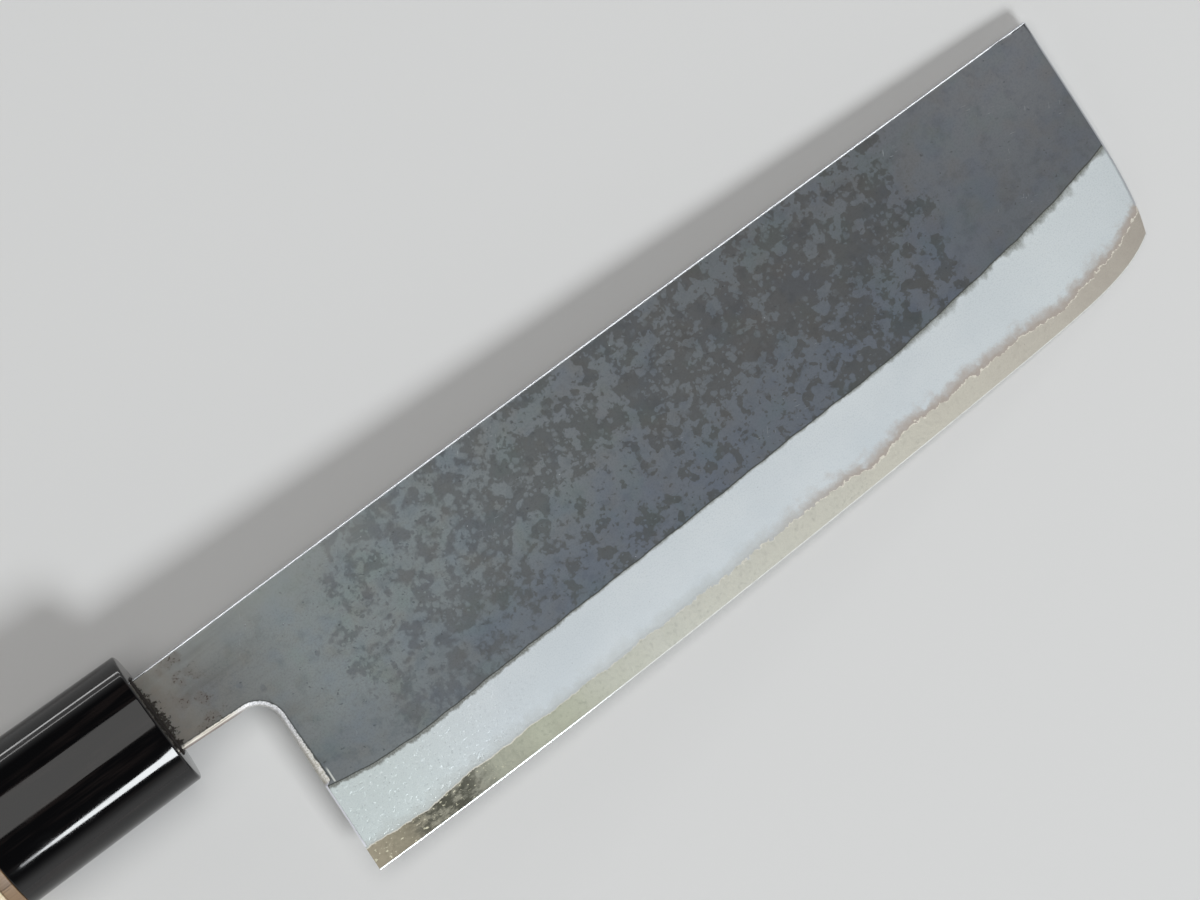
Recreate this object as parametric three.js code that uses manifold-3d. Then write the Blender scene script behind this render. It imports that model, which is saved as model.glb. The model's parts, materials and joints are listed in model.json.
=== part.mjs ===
// A Japanese vegetable knife with a square-ended laminated blade and an oval wooden handle.
// It lies on its left side, as on a table: on the ferrule's rim and the blade's square end.
// Units are millimetres and +Z is up. The origin is under the middle of the knife's box.
//
// The knife is drawn in its own frame first: x runs along the handle's axis to the tip, from the
// ferrule's front face, y runs to the spine, and z points out of the right-hand face of the blade.
// The ridge is the line on each face where the black forge scale ends and the ground bevel starts.

import * as THREE from "three";
import { mergeVertices } from "three/addons/utils/BufferGeometryUtils.js";
import Module from "manifold-3d";

const wasm = await Module();
wasm.setup();

// Blade outline
const neckLength = 14.45; // ferrule's face to the heel corner
const edgeLength = 164.6; // heel corner to tip corner
const heelHeight = 49.4; // spine to edge at the heel
const spineRise = 0.85; // rise of the spine from the ferrule to the tip
const spineBow = 0.26; // rise of the spine's middle over the line between its ends
const edgeFlat = 10.3; // straight stretch of the edge ahead of the heel
const edgeRise = 6.2; // slow rise of the edge towards the tip
const tipSweep = 3.5; // extra rise of the edge close to the tip corner
const tipLean = 1.7; // how far the square end leans back from the spine to the edge
const tipRound = 2.3; // how far the square end curves back at the tip corner
const choilLean = 1.75; // how far the heel reaches back under the notch
const neckHeight = 14.3; // at the ferrule
const neckRise = 0.18; // neck's middle above the handle's axis
const neckFlare = 0.6; // extra height of the neck at the notch
const notchRadius = 4.2; // round inner corner between the neck and the heel

// How late along the blade each of these curves sets in, as a power
const edgeRisePower = 1.6;
const tipSweepPower = 26;
const tipRoundPower = 6;
const ridgeFlarePower = 7;

// Bevel
const bevelWidth = 15.1; // edge to ridge
const heelFlare = 1.9; // extra bevel at the heel
const heelFlareReach = 6.0; // length over which that extra dies away
const tipFlare = 4.2; // extra bevel at the tip
const bevelConvexity = 0.35; // swell of the bevel over a flat grind, as a share
const ridgeDips = [
  { ahead: 19, depth: 0.6, reach: 13 },
  { ahead: 116, depth: 0.5, reach: 13 },
]; // where the hand-ground ridge sags: ahead of the heel, how deep and over what length

// Thickness and laminate
const spineThickness = 3.6; // at the ferrule
const tipThickness = 2.0; // at the end of the spine
const faceThinning = 0.01; // loss of half thickness for each millimetre below the spine
const coreShow = 4.2; // bare core above the edge at the heel
const coreShowTip = 3.5; // bare core above the edge at the tip
const coreDips = [
  { ahead: 11, depth: 0.8, reach: 5 },
  { ahead: 105, depth: 1.2, reach: 4 },
  { ahead: 146, depth: 0.9, reach: 6 },
]; // where the weld line sags towards the edge
const weldSeam = 0.04; // gap drawn between the core and each cladding

// Tang
const neckInsert = 4.0; // neck's full height inside the ferrule
const shoulderLength = 4.0; // taper from the neck to the tang
const tangEndHeight = 5.0;
const tangEndThickness = 2.2;
const tangShortOfDowel = 12.0; // wood left in the dowel past the tang's end
const tangClearance = 0.3; // all round the tang in its slot

// Handle
const handleLength = 125.0;
const handleSwell = 3.6; // extra height at the butt over the front
const handleThickness = 18.8; // at the front
const ferruleLip = 5.2; // ferrule above and below the neck, at the front
const ferruleLength = 34.2;
const ferruleWall = 2.3; // beside the dowel, at the front
const ferruleRim = 0.5; // rounding of the front rim
const spacerLength = 2.3;
const jointEase = 0.3; // small chamfer where two handle pieces meet
const buttRound = 2.0;
const dowelShortOfButt = 22.0; // wood left behind the dowel
const dowelWall = 2.3; // dowel above and below the tang
const dowelClearance = 0.1; // all round the dowel in its bores
const glueGap = 0.06; // glue line between two handle pieces
const sealWall = 0.6; // resin round the neck in the ferrule's slot
const sealDepth = 3.2;
const sealProud = 0.35; // resin standing out of the ferrule's face

// Fineness of the mesh
const bladeColumns = 54;
const notchSteps = 5;
const ovalSides = 44;
const roundSteps = 4;
const easeSteps = 1;

// Derived places
const spineAboveAxis = neckHeight / 2 + neckRise;
const heelX = neckLength;
const tipX = heelX + edgeLength;
const spineTipX = tipX + tipLean + tipRound;
const spineTipY = spineAboveAxis + spineRise;
const heelY = spineAboveAxis - heelHeight;
const tipY = heelY + edgeRise + tipSweep;
const neckY = spineAboveAxis - neckHeight;
const notchX = heelX + choilLean;
const notchCentreX = notchX - notchRadius;
const notchY = neckY - neckFlare - notchRadius;
const handleHeight = neckHeight + 2 * ferruleLip;
const ovalRatio = handleThickness / handleHeight;
const dowelDiameter = handleThickness - 2 * ferruleWall;
const boreDiameter = dowelDiameter + 2 * dowelClearance;
const tangRootX = -neckInsert - shoulderLength;
const tangRootHeight = dowelDiameter - 2 * dowelWall - 2 * tangClearance;
const dowelEndX = -handleLength + dowelShortOfButt;
const tangEndX = dowelEndX + tangShortOfDowel;
const spacerFrontX = -ferruleLength - glueGap;
const spacerRearX = spacerFrontX - spacerLength;
const bodyFrontX = spacerRearX - glueGap;
const cutBeyond = 1; // how far a cutting solid reaches past the piece it cuts

const lerp = THREE.MathUtils.lerp;
const clamp = THREE.MathUtils.clamp;

// Blade outline curves

function edgeShare(x) {
  return Math.max(0, (x - heelX - edgeFlat) / (edgeLength - edgeFlat));
}

function slowRise(x) {
  return edgeRise * edgeShare(x) ** edgeRisePower;
}

function edgeY(x) {
  return heelY + slowRise(x) + tipSweep * edgeShare(x) ** tipSweepPower;
}

function spineY(x) {
  const share = clamp(x / spineTipX, 0, 1);
  return lerp(spineAboveAxis, spineTipY, share) + spineBow * Math.sin(Math.PI * share);
}

function dipAt(dips, x) {
  const falls = dips.map((dip) => dip.depth * Math.exp(-(((x - heelX - dip.ahead) / dip.reach) ** 2)));
  return falls.reduce((sum, fall) => sum + fall, 0);
}

function ridgeY(x) {
  const atHeel = heelFlare * Math.exp(-Math.max(0, x - heelX) / heelFlareReach);
  const atTip = tipFlare * edgeShare(x) ** ridgeFlarePower;
  return heelY + slowRise(x) + bevelWidth + atHeel + atTip - dipAt(ridgeDips, x);
}

function choilX(y) {
  return heelX + (choilLean * (y - heelY)) / (notchY - heelY);
}

function tipEndX(y) {
  const down = clamp((spineTipY - y) / (spineTipY - tipY), 0, 1);
  return spineTipX - tipLean * down - tipRound * down ** tipRoundPower;
}

// Half thicknesses

function faceHalf(x, y) {
  const atSpine =
    x >= 0
      ? lerp(spineThickness, tipThickness, x / spineTipX)
      : lerp(spineThickness, tangEndThickness, x / tangEndX);
  return atSpine / 2 - faceThinning * (spineAboveAxis - y);
}

function bladeHalf(x, y) {
  const ridge = ridgeY(x);
  if (y >= ridge) return faceHalf(x, y);
  const up = clamp((y - edgeY(x)) / (ridge - edgeY(x)), 0, 1);
  return faceHalf(x, ridge) * up * (1 + bevelConvexity * (1 - up));
}

// The weld line, where the core comes out of the bevel.
function coreFootY(x) {
  const show = lerp(coreShow, coreShowTip, clamp((x - heelX) / edgeLength, 0, 1));
  return edgeY(x) + show - dipAt(coreDips, x);
}

function coreHalf(x) {
  const along = Math.max(x, heelX);
  return bladeHalf(along, coreFootY(along));
}

function seamHalf(x) {
  return coreHalf(x) + weldSeam;
}

// The height on the bevel where the cladding has thinned to nothing.
function claddingFootY(x) {
  const full = 1 + bevelConvexity;
  const ratio = seamHalf(x) / faceHalf(x, ridgeY(x));
  const up = (full - Math.sqrt(full * full - 4 * bevelConvexity * ratio)) / (2 * bevelConvexity);
  return lerp(edgeY(x), ridgeY(x), up);
}

function bevelMiddleY(x) {
  return (ridgeY(x) + claddingFootY(x)) / 2;
}

function coreMiddleY(x) {
  return (coreFootY(x) + edgeY(x)) / 2;
}

// Plan of the blade as four-sided cells

// The point of a row at a share of the way from the choil to the square end.
function bladePoint(share, rowY) {
  const passes = 16;
  let x = lerp(heelX, tipX, share);
  for (let pass = 0; pass < passes; pass++) {
    const y = rowY(x);
    x = lerp(choilX(y), tipEndX(y), share);
  }
  return [x, rowY(x)];
}

function stripCells(upper, lower) {
  const cells = [];
  for (let i = 0; i + 1 < upper.length; i++) {
    cells.push([lower[i], lower[i + 1], upper[i + 1], upper[i]]);
  }
  return cells;
}

// The row through the lower end of the notch's round corner lies at this share from spine to ridge.
const notchShare = (spineY(notchX) - notchY) / (spineY(notchX) - ridgeY(notchX));

function notchRowY(x) {
  return lerp(spineY(x), ridgeY(x), notchShare);
}

// Cells of the blade proper, between the given rows from the spine down.
function bladeCells(rows) {
  const shares = Array.from({ length: bladeColumns + 1 }, (_, i) => i / bladeColumns);
  const lines = rows.map((rowY) => shares.map((share) => bladePoint(share, rowY)));
  return lines.slice(1).flatMap((lower, i) => stripCells(lines[i], lower));
}

// Cells of the tang and the neck, which end on the blade's first column.
function tangCells() {
  const lower = [
    [tangEndX, -tangEndHeight / 2],
    [tangRootX, -tangRootHeight / 2],
    [-neckInsert, neckY],
    [0, neckY],
  ];
  for (let i = 0; i < notchSteps; i++) {
    const turn = (Math.PI / 2) * (1 - i / notchSteps);
    const x = notchCentreX + notchRadius * Math.cos(turn);
    lower.push([x, notchY + notchRadius * Math.sin(turn)]);
  }
  const upper = lower.map(([x, y]) => [x, x < -neckInsert ? -y : spineY(x)]);
  lower.push(bladePoint(0, notchRowY));
  upper.push(bladePoint(0, spineY));
  return stripCells(upper, lower);
}

// A closed plate over the cells, between two heights. Where the heights meet it has a sharp edge.
function plate(cells, topOf, bottomOf) {
  const sharpBelow = 1e-6;
  const positions = [];
  const known = new Map();
  const vertex = (x, y, z) => positions.push(x, y, z) / 3 - 1;
  const pairAt = ([x, y]) => {
    const key = `${x.toFixed(4)},${y.toFixed(4)}`;
    if (!known.has(key)) {
      const top = topOf(x, y);
      const bottom = bottomOf(x, y);
      const above = vertex(x, y, top);
      const below = top - bottom < sharpBelow ? above : vertex(x, y, bottom);
      known.set(key, { above, below });
    }
    return known.get(key);
  };
  const triangles = [];
  const rim = new Map();
  for (const cell of cells) {
    const corners = cell.map(pairAt);
    const [a, b, c, d] = corners;
    triangles.push([a.above, b.above, c.above], [a.above, c.above, d.above]);
    triangles.push([a.below, c.below, b.below], [a.below, d.below, c.below]);
    corners.forEach((from, i) => {
      const to = corners[(i + 1) % corners.length];
      const shared = rim.delete(`${to.above}-${from.above}`);
      if (!shared) rim.set(`${from.above}-${to.above}`, [from, to]);
    });
  }
  for (const [from, to] of rim.values()) {
    triangles.push([from.above, from.below, to.below], [from.above, to.below, to.above]);
  }
  const whole = triangles.filter(([a, b, c]) => a !== b && b !== c && c !== a);
  const geometry = new THREE.BufferGeometry();
  geometry.setAttribute("position", new THREE.Float32BufferAttribute(positions, 3));
  geometry.setIndex(whole.flat());
  return geometry;
}

// Solids and cuts

function solidOf(geometry) {
  const bare = geometry.clone();
  bare.deleteAttribute("normal");
  bare.deleteAttribute("uv");
  const merged = mergeVertices(bare);
  const triangles = [];
  for (let i = 0; i < merged.index.count; i += 3) {
    const [a, b, c] = [0, 1, 2].map((n) => merged.index.getX(i + n));
    if (a !== b && b !== c && c !== a) triangles.push(a, b, c);
  }
  const mesh = new wasm.Mesh({
    numProp: 3,
    vertProperties: new Float32Array(merged.attributes.position.array),
    triVerts: new Uint32Array(triangles),
  });
  return new wasm.Manifold(mesh);
}

function cut(geometry, ...tools) {
  const rest = tools.reduce((left, tool) => left.subtract(solidOf(tool)), solidOf(geometry));
  const mesh = rest.getMesh();
  const made = new THREE.BufferGeometry();
  made.setAttribute("position", new THREE.Float32BufferAttribute(mesh.vertProperties, 3));
  made.setIndex(Array.from(mesh.triVerts));
  return made;
}

// A box between two stations along x, with its own middle, height and thickness at each.
function taperedBar(rear, front) {
  const bar = new THREE.BoxGeometry(1, 1, 1);
  const corners = bar.attributes.position;
  for (let i = 0; i < corners.count; i++) {
    const end = corners.getX(i) > 0 ? front : rear;
    const y = end.middleY + corners.getY(i) * end.height;
    corners.setXYZ(i, end.x, y, corners.getZ(i) * end.thickness);
  }
  return bar;
}

function cylinderAlongX(fromX, toX, diameter) {
  const cylinder = new THREE.CylinderGeometry(diameter / 2, diameter / 2, toX - fromX, ovalSides);
  return cylinder.rotateZ(-Math.PI / 2).translate((fromX + toX) / 2, 0, 0);
}

function handleHalf(x) {
  return (handleHeight + handleSwell * (-x / handleLength)) / 2;
}

// A quarter round at one end of the handle, from its end face out to its side.
function endRound(endX, inward, radius) {
  const steps = radius > jointEase ? roundSteps : easeSteps;
  return Array.from({ length: steps + 1 }, (_, i) => {
    const turn = ((Math.PI / 2) * i) / steps;
    const x = endX + inward * radius * (1 - Math.cos(turn));
    return new THREE.Vector2(handleHalf(endX) - radius * (1 - Math.sin(turn)), x);
  });
}

// A stretch of the oval handle with its two ends rounded.
function handleStretch(rearX, frontX, rearRound, frontRound) {
  const profile = [
    new THREE.Vector2(0, rearX),
    ...endRound(rearX, 1, rearRound),
    ...endRound(frontX, -1, frontRound).reverse(),
    new THREE.Vector2(0, frontX),
  ];
  return new THREE.LatheGeometry(profile, ovalSides).rotateZ(-Math.PI / 2).scale(1, 1, ovalRatio);
}

// The rectangle round the neck at a station, grown by an allowance on every side.
function neckSection(x, allowance) {
  return {
    x,
    middleY: neckRise,
    height: neckHeight + 2 * allowance,
    thickness: spineThickness + 2 * allowance,
  };
}

// The rectangle round the tang at a station, with its clearance.
function tangSection(x, height, thickness) {
  return {
    x,
    middleY: 0,
    height: height + 2 * tangClearance,
    thickness: thickness + 2 * tangClearance,
  };
}

// Pieces

function coreSteel() {
  const rows = [spineY, notchRowY, coreFootY, coreMiddleY, edgeY];
  const half = (x, y) => Math.min(coreHalf(x), bladeHalf(x, y));
  return plate([...tangCells(), ...bladeCells(rows)], half, (x, y) => -half(x, y));
}

function claddingCells() {
  const rows = [spineY, notchRowY, ridgeY, bevelMiddleY, claddingFootY];
  return [...tangCells(), ...bladeCells(rows)];
}

function claddingRight() {
  return plate(claddingCells(), bladeHalf, seamHalf);
}

function claddingLeft() {
  const top = (x) => -seamHalf(x);
  const bottom = (x, y) => -bladeHalf(x, y);
  return plate(claddingCells(), top, bottom);
}

function tangSeal() {
  const outside = sealWall - glueGap;
  const outer = taperedBar(neckSection(-sealDepth, outside), neckSection(sealProud, outside));
  const hole = taperedBar(
    neckSection(-sealDepth - cutBeyond, glueGap),
    neckSection(sealProud + cutBeyond, glueGap),
  );
  return cut(outer, hole);
}

function ferrule() {
  const slot = taperedBar(
    neckSection(tangRootX - cutBeyond, sealWall),
    neckSection(cutBeyond, sealWall),
  );
  const bore = cylinderAlongX(-ferruleLength - cutBeyond, tangRootX + dowelClearance, boreDiameter);
  return cut(handleStretch(-ferruleLength, 0, jointEase, ferruleRim), slot, bore);
}

function spacerRing() {
  const bore = cylinderAlongX(spacerRearX - cutBeyond, spacerFrontX + cutBeyond, boreDiameter);
  return cut(handleStretch(spacerRearX, spacerFrontX, jointEase, jointEase), bore);
}

function handleDowel() {
  const slot = taperedBar(
    tangSection(tangEndX - tangClearance, tangEndHeight, tangEndThickness),
    tangSection(tangRootX + tangClearance, tangRootHeight, spineThickness),
  );
  return cut(cylinderAlongX(dowelEndX, tangRootX, dowelDiameter), slot);
}

function handleBody() {
  const bore = cylinderAlongX(dowelEndX - dowelClearance, bodyFrontX + cutBeyond, boreDiameter);
  return cut(handleStretch(-handleLength, bodyFrontX, buttRound, jointEase), bore);
}

// Materials

function material(color, roughness, metalness) {
  return new THREE.MeshStandardMaterial({ color, roughness, metalness });
}

const hardSteel = material(0xbdb6a6, 0.25, 1);
const blackIron = material(0x53575a, 0.5, 1);
const darkResin = material(0x1d1613, 0.5, 0);
const blackHorn = material(0x0c0c0e, 0.12, 0);
const brownWood = material(0x6a5a4a, 0.6, 0);
const dowelWood = material(0xb89b6f, 0.7, 0);
const paleWood = material(0xd6c3a0, 0.6, 0);

// Assembly

const knife = new THREE.Group();

function add(name, geometry, finish) {
  geometry.computeVertexNormals();
  const mesh = new THREE.Mesh(geometry, finish);
  mesh.name = name;
  knife.add(mesh);
}

add("core_steel", coreSteel(), hardSteel);
add("cladding_right", claddingRight(), blackIron);
add("cladding_left", claddingLeft(), blackIron);
add("tang_seal", tangSeal(), darkResin);
add("ferrule", ferrule(), blackHorn);
add("spacer_ring", spacerRing(), brownWood);
add("handle_dowel", handleDowel(), dowelWood);
add("handle_body", handleBody(), paleWood);

// How it lies: the table is the plane under the rim, the swell of the bevel at the square end and
// the tip corner.

function tableNormal() {
  const rim = new THREE.Vector3(-ferruleRim, 0, -handleHalf(0) * ovalRatio);
  const [swellX, swellY] = bladePoint(1, bevelMiddleY);
  const swell = new THREE.Vector3(swellX, swellY, -bladeHalf(swellX, swellY));
  const corner = new THREE.Vector3(tipX, tipY, 0);
  return corner.sub(rim).cross(swell.sub(rim)).normalize();
}

const up = new THREE.Vector3(0, 0, 1);
knife.quaternion.setFromUnitVectors(tableNormal(), up);

const box = new THREE.Box3().setFromObject(knife, true);
const middle = box.getCenter(new THREE.Vector3());
knife.position.set(-middle.x, -middle.y, -box.min.z);

const part = new THREE.Group();
part.add(knife);

export default part;
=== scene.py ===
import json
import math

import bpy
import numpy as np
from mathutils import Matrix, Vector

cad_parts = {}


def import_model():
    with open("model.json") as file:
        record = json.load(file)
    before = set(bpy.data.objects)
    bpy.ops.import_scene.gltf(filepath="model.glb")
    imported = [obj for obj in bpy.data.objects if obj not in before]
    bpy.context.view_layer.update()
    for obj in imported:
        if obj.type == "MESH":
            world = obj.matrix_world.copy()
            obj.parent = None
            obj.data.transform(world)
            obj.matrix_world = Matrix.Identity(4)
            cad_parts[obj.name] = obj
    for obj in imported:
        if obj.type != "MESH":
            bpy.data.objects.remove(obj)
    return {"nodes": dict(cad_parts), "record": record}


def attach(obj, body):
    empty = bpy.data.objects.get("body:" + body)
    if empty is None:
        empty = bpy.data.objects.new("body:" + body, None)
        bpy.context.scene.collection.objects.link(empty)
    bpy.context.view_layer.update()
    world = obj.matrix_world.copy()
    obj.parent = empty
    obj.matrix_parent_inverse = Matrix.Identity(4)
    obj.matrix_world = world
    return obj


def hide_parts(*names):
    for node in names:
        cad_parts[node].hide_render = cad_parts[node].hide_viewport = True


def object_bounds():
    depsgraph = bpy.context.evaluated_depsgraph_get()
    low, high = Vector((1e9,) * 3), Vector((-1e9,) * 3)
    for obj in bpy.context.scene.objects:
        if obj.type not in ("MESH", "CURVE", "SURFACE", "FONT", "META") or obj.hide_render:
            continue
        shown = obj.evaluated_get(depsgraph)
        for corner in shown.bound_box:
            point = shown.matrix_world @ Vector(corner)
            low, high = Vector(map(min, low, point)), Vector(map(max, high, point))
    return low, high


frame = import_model()
cad_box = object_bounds()

# The looks of a Japanese vegetable knife: a laminated blade with black forge scale above a ground
# bevel, a glossy black ferrule, a thin brown ring and a pale oval handle.
#
# Sizes are millimetres in the knife's own frame: x runs along the handle's axis to the tip, from the
# ferrule's front face, y runs to the spine, and z points out of the right-hand face of the blade.

millimetre = 0.001
scene = bpy.context.scene

# Blade outline
neck_length = 14.45
edge_length = 164.6
heel_height = 49.4
spine_rise = 0.85
spine_bow = 0.26
edge_flat = 10.3
edge_rise = 6.2
tip_sweep = 3.5
tip_lean = 1.7
tip_round = 2.3
choil_lean = 1.75
neck_height = 14.3
neck_rise = 0.18
neck_flare = 0.6
notch_radius = 4.2
edge_rise_power = 1.6
tip_sweep_power = 26
tip_round_power = 6
ridge_flare_power = 7

# Bevel
bevel_width = 15.1
heel_flare = 1.9
heel_flare_reach = 6.0
tip_flare = 4.2
bevel_convexity = 0.35
ridge_dips = [(19, 0.6, 13), (116, 0.5, 13)]  # ahead of the heel, depth, reach
ridge_waves = [(0.06, 9.1, 0.3), (0.03, 4.3, 2.0)]  # height, length, phase

# Thickness and laminate
spine_thickness = 3.6
tip_thickness = 2.0
face_thinning = 0.01
core_show = 4.2
core_show_tip = 3.5
core_dips = [(11, 0.8, 5), (105, 1.2, 4), (146, 0.9, 6)]
weld_waves = [(0.12, 11.7, 0.9), (0.08, 6.1, 2.2), (0.05, 2.9, 4.0)]
weld_seam = 0.04
edge_land = 0.034  # extra half thickness just behind the edge, in the heel half
edge_land_end = (48, 72)  # along the blade, where that fades out
edge_land_reach = 1.8
micro_bevel_slope = math.tan(math.radians(20))
forging_wave = 0.02  # how far the forged face rises and falls
forged_above_ridge = (0.2, 3.0)  # where that begins and is whole
forged_past_ferrule = (0, 6)

# Eased edges of the blade: how wide they are, and how steep
spine_ease = 0.25
spine_ease_tip = 0.45
spine_tip_reach = 7.0
neck_ease = 0.90
choil_ease = 1.30
choil_ease_power = 1.3
tip_ease = 0.30
bevel_ease = 0.30
spine_ease_slope = 0.95
low_ease_slope = 0.55
tip_ease_slope = 0.6
ease_power = 1.4
ease_limit = 0.7  # the most it takes of the cladding's thickness
tip_corner_reach = 2.2
choil_ease_ends = (-0.2, 0.5)  # below the ridge, where its width gives way to the bevel's
deep_inside = 10.0  # in eased widths, for points far from every edge

# Tang
neck_insert = 4.0
shoulder_length = 4.0
tang_end_height = 5.0
tang_end_thickness = 2.2
tang_short_of_dowel = 12.0
tang_clearance = 0.3

# Handle
handle_length = 125.0
handle_swell = 3.6
handle_thickness = 18.8
ferrule_lip = 5.2
ferrule_length = 34.2
ferrule_wall = 2.3
ferrule_rim = 0.5
spacer_length = 2.3
joint_ease = 0.3
butt_round = 2.0
dowel_short_of_butt = 22.0
dowel_wall = 2.3
dowel_clearance = 0.1
glue_gap = 0.06
seal_wall = 0.6
seal_depth = 3.2
seal_proud = 0.35

# Fineness of the meshes
column_step = 0.5
row_step = 1.0
face_rows = 20
notch_steps = 24
neck_steps = 30
ring_sides = 176
round_steps = 8
ferrule_rings = 12
handle_rings = 40
sharp_angle = math.radians(27)

# Tolerances
no_thickness = 1e-5
same_place = 1e-6
no_slope = 1e-9

# Derived places
spine_above_axis = neck_height / 2 + neck_rise
heel_x = neck_length
tip_x = heel_x + edge_length
spine_tip_x = tip_x + tip_lean + tip_round
spine_tip_y = spine_above_axis + spine_rise
heel_y = spine_above_axis - heel_height
tip_y = heel_y + edge_rise + tip_sweep
neck_y = spine_above_axis - neck_height
notch_x = heel_x + choil_lean
notch_centre_x = notch_x - notch_radius
notch_y = neck_y - neck_flare - notch_radius
handle_height = neck_height + 2 * ferrule_lip
oval_ratio = handle_thickness / handle_height
dowel_diameter = handle_thickness - 2 * ferrule_wall
bore_radius = dowel_diameter / 2 + dowel_clearance
tang_root_x = -neck_insert - shoulder_length
tang_root_height = dowel_diameter - 2 * dowel_wall - 2 * tang_clearance
dowel_end_x = -handle_length + dowel_short_of_butt
tang_end_x = dowel_end_x + tang_short_of_dowel
spacer_front_x = -ferrule_length - glue_gap
spacer_rear_x = spacer_front_x - spacer_length
body_front_x = spacer_rear_x - glue_gap

# The knife's own frame in the row's frame, from the mounts on its two faces and its butt
mounts = {mount["name"]: mount for mount in frame["record"]["mounts"]}
axis_x = -Vector(mounts["butt_end"]["axis"]).normalized()
across = Vector(mounts["blade_face_right"]["axis"]) - Vector(mounts["blade_face_left"]["axis"])
axis_y = across.cross(axis_x).normalized()
axis_z = axis_x.cross(axis_y)
own_axes = np.array([axis_x, axis_y, axis_z])
own_origin = np.array(mounts["butt_end"]["pos_m"]) + handle_length * millimetre * own_axes[0]


def to_row(points):
    return own_origin + np.asarray(points) @ own_axes * millimetre


def lerp(start, end, share):
    return start + (end - start) * share


def smooth(value, low, high):
    share = np.clip((value - low) / (high - low), 0, 1)
    return share * share * (3 - 2 * share)


# Blade outline curves

def edge_share(x):
    return np.maximum(0.0, (x - heel_x - edge_flat) / (edge_length - edge_flat))


def slow_rise(x):
    return edge_rise * edge_share(x) ** edge_rise_power


def edge_y(x):
    return heel_y + slow_rise(x) + tip_sweep * edge_share(x) ** tip_sweep_power


def spine_y(x):
    share = np.clip(x / spine_tip_x, 0, 1)
    return lerp(spine_above_axis, spine_tip_y, share) + spine_bow * np.sin(math.pi * share)


def dip_at(dips, x):
    return sum(depth * np.exp(-(((x - heel_x - ahead) / reach) ** 2)) for ahead, depth, reach in dips)


def waves_at(waves, x):
    return sum(height * np.sin(2 * math.pi * x / length + phase) for height, length, phase in waves)


def ridge_y(x):
    at_heel = heel_flare * np.exp(-np.maximum(0, x - heel_x) / heel_flare_reach)
    at_tip = tip_flare * edge_share(x) ** ridge_flare_power
    drawn = heel_y + slow_rise(x) + bevel_width + at_heel + at_tip
    return drawn - dip_at(ridge_dips, x) + waves_at(ridge_waves, x)


ridge_end_y = float(ridge_y(heel_x))  # at the choil


def choil_x(y):
    return heel_x + choil_lean * (y - heel_y) / (notch_y - heel_y)


def tip_end_x(y):
    down = np.clip((spine_tip_y - y) / (spine_tip_y - tip_y), 0, 1)
    return spine_tip_x - tip_lean * down - tip_round * down ** tip_round_power


def neck_under_y(x):
    return lerp(neck_y, neck_y - neck_flare, x / notch_centre_x)


# Half thicknesses

def face_half(x, y):
    ahead = lerp(spine_thickness, tip_thickness, x / spine_tip_x)
    behind = lerp(spine_thickness, tang_end_thickness, x / tang_end_x)
    return np.where(x >= 0, ahead, behind) / 2 - face_thinning * (spine_above_axis - y)


def bevel_half(x, y):
    ridge = ridge_y(x)
    up = np.clip((y - edge_y(x)) / (ridge - edge_y(x)), 0, 1)
    return face_half(x, ridge) * up * (1 + bevel_convexity * (1 - up))


def weld_y(x):
    show = lerp(core_show, core_show_tip, np.clip((x - heel_x) / edge_length, 0, 1))
    return edge_y(x) + show - dip_at(core_dips, x) + waves_at(weld_waves, x)


def core_half(x):
    along = np.maximum(x, heel_x)
    return bevel_half(along, weld_y(along))


def seam_half(x):
    return core_half(x) + weld_seam


# The height on the bevel where the cladding has thinned to nothing.
def cladding_foot_y(x):
    full = 1 + bevel_convexity
    ratio = seam_half(x) / face_half(x, ridge_y(x))
    up = (full - np.sqrt(full * full - 4 * bevel_convexity * ratio)) / (2 * bevel_convexity)
    return lerp(edge_y(x), ridge_y(x), up)


# A slow and a quick pattern of waves, bent so that they don't line up.
def forged(x, y):
    long_wave = np.sin(x / 5.3 + 0.9 * np.sin(y / 7.1)) * np.sin(y / 4.7 + 0.6)
    short_wave = np.sin(x / 2.9 + 1.3) * np.sin(y / 2.3 + 0.5 * np.sin(x / 6.1))
    return forging_wave * (0.65 * long_wave + 0.35 * short_wave)


# Eased edges

def low_edge_distance(x, y):
    under_neck = y - neck_under_y(x)
    round_notch = np.hypot(x - notch_centre_x, y - notch_y) - notch_radius
    by_choil = x - choil_x(y)
    return np.where(y <= notch_y, by_choil, np.where(x < notch_centre_x, under_neck, round_notch))


def low_edge_width(x, y):
    down = np.clip((notch_y - y) / (notch_y - ridge_end_y), 0, 1)
    wide = lerp(neck_ease, choil_ease, down ** choil_ease_power)
    return lerp(wide, bevel_ease, smooth(ridge_end_y - y, *choil_ease_ends))


# How far a point of the blade's plan lies inside the nearest edge, in eased widths of that edge, and how
# much the easing takes off there.
def eased_edges(x, y):
    at_tip = smooth(x, spine_tip_x - spine_tip_reach, spine_tip_x)
    spine_width = lerp(spine_ease, spine_ease_tip, at_tip)
    tip_width = lerp(tip_ease, spine_ease_tip, smooth(y, spine_tip_y - tip_corner_reach, spine_tip_y))
    edges = [
        (spine_y(x) - y, spine_width, spine_ease_slope),
        (low_edge_distance(x, y), low_edge_width(x, y), low_ease_slope),
        (tip_end_x(y) - x, tip_width, tip_ease_slope),
    ]
    inside = np.full(np.shape(x), deep_inside)
    taken = np.zeros(np.shape(x))
    in_handle = x < -neck_insert / 2
    for distance, width, slope in edges:
        share = np.maximum(distance, 0) / width
        inside = np.minimum(inside, share)
        taken = np.maximum(taken, width * slope * np.clip(1 - share, 0, 1) ** ease_power)
    return np.where(in_handle, deep_inside, inside), np.where(in_handle, 0.0, taken)


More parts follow.
